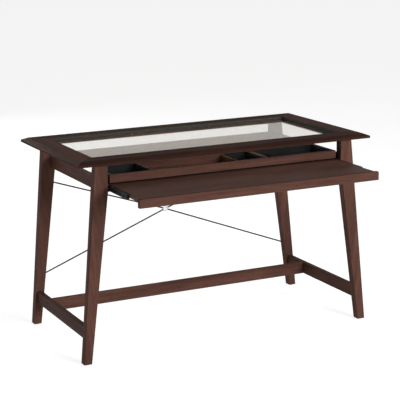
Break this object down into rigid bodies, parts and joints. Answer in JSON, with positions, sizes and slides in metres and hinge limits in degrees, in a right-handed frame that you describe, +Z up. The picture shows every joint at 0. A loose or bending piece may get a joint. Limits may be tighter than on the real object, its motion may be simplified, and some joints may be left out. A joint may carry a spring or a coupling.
{
  "type": "computer desk with keyboard tray",
  "caption": "Writing desk with a framed glass top, splayed tapered legs, a rod brace, and a pull-out keyboard shelf with a pencil organiser.",
  "frame": {"origin": "on the floor, below the middle of the desk with its tray pulled out", "axes": "+X along the desk's width, to the right of the person who sits at it; +Y from the keyboard towards the back; +Z up"},
  "size_m": [1.219, 0.892, 0.762],
  "materials": {
    "espresso_wood": "satin dark stain",
    "clear_glass": "polished",
    "clear_rubber": "clear",
    "black_plastic": "fine grain",
    "black_steel": "black coating",
    "zinc_steel": "zinc plated",
    "beech": "raw"
  },
  "bodies": {
    "desk": {"barrel_nuts": "zinc_steel", "brace_ring": "black_steel", "brace_rod_lower_left": "black_steel", "brace_rod_lower_right": "black_steel", "brace_rod_upper_left": "black_steel", "brace_rod_upper_right": "black_steel", "brace_screws": "black_steel", "bracket_screws": "zinc_steel", "connector_bolts": "zinc_steel", "foot_glide_front_left": "black_plastic", "foot_glide_front_right": "black_plastic", "foot_glide_rear_left": "black_plastic", "foot_glide_rear_right": "black_plastic", "frame_dowels": "beech", "glass_ledge_front": "espresso_wood", "glass_ledge_left": "espresso_wood", "glass_ledge_rear": "espresso_wood", "glass_ledge_right": "espresso_wood", "glass_ledge_screws": "zinc_steel", "glass_pads": "clear_rubber", "glass_panel": "clear_glass", "leg_front_left": "espresso_wood", "leg_front_right": "espresso_wood", "leg_rear_left": "espresso_wood", "leg_rear_right": "espresso_wood", "long_stretcher": "espresso_wood", "rear_apron": "espresso_wood", "side_apron_left": "espresso_wood", "side_apron_right": "espresso_wood", "side_stretcher_left": "espresso_wood", "side_stretcher_right": "espresso_wood", "slide_outer_left": "black_steel", "slide_outer_right": "black_steel", "slide_screws_apron": "zinc_steel", "top_brackets": "black_steel", "top_front_rail": "espresso_wood", "top_left_rail": "espresso_wood", "top_rear_rail": "espresso_wood", "top_right_rail": "espresso_wood"},
    "tray": {"keyboard_shelf": "espresso_wood", "organiser_centre_divider": "espresso_wood", "organiser_front_wall": "espresso_wood", "organiser_left_divider": "espresso_wood", "organiser_left_wall": "espresso_wood", "organiser_pen_rest": "espresso_wood", "organiser_rear_wall": "espresso_wood", "organiser_right_wall": "espresso_wood", "pencil_bin_centre": "black_plastic", "pencil_bin_left": "black_plastic", "pencil_bin_right": "black_plastic", "shelf_dowels": "beech", "shelf_front_strip": "espresso_wood", "slide_inner_left": "black_steel", "slide_inner_right": "black_steel", "slide_screws_shelf": "zinc_steel", "tray_screws": "zinc_steel"},
    "slide_middle_left": {"slide_middle_left": "black_steel", "slide_bearings_left": "zinc_steel"},
    "slide_middle_right": {"slide_middle_right": "black_steel", "slide_bearings_right": "zinc_steel"}
  },
  "joints": [
    {"name": "tray_slide", "type": "slide", "parent": "desk", "child": "tray", "axis": [0, 1, 0], "range_m": [0, 0.266]},
    {"name": "middle_slide_left", "type": "slide", "parent": "desk", "child": "slide_middle_left", "axis": [0, 1, 0], "range_m": [0, 0.17]},
    {"name": "middle_slide_right", "type": "slide", "parent": "desk", "child": "slide_middle_right", "axis": [0, 1, 0], "range_m": [0, 0.17]}
  ],
  "couplings": [
    {"joint": "middle_slide_left", "follows": "tray_slide", "ratio": 0.639},
    {"joint": "middle_slide_right", "follows": "tray_slide", "ratio": 0.639}
  ]
}
